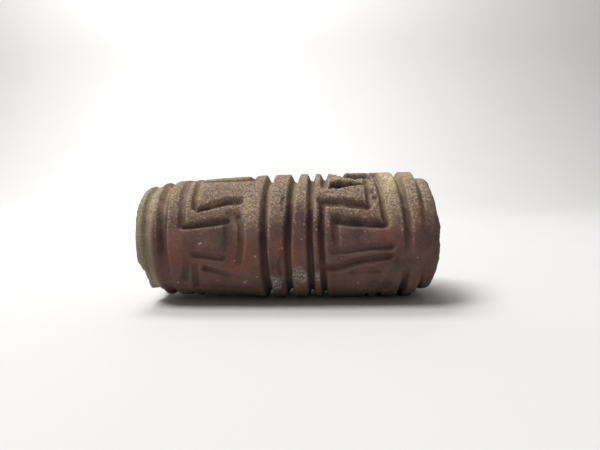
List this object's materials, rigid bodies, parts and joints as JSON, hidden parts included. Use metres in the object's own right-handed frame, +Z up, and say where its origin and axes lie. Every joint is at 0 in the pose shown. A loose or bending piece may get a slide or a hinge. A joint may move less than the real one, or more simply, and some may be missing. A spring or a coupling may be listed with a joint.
{
  "type": "cylinder seal",
  "caption": "Fired-clay roller seal, deeply carved with encircling rings and a stepped fret, pierced along its axis and lying on its side.",
  "frame": {"origin": "on the surface the seal lies on, under the middle of its bounding box", "axes": "+X along the roller towards its full-width end, -Y towards the better preserved side of the fret, +Z up"},
  "size_m": [0.083, 0.036, 0.0358],
  "materials": {
    "fired_clay": "unglazed, matt and sandy, worn smooth on the ridges, with pale dust in the grooves"
  },
  "bodies": {
    "root": {"seal_body": "fired_clay"}
  },
  "joints": []
}
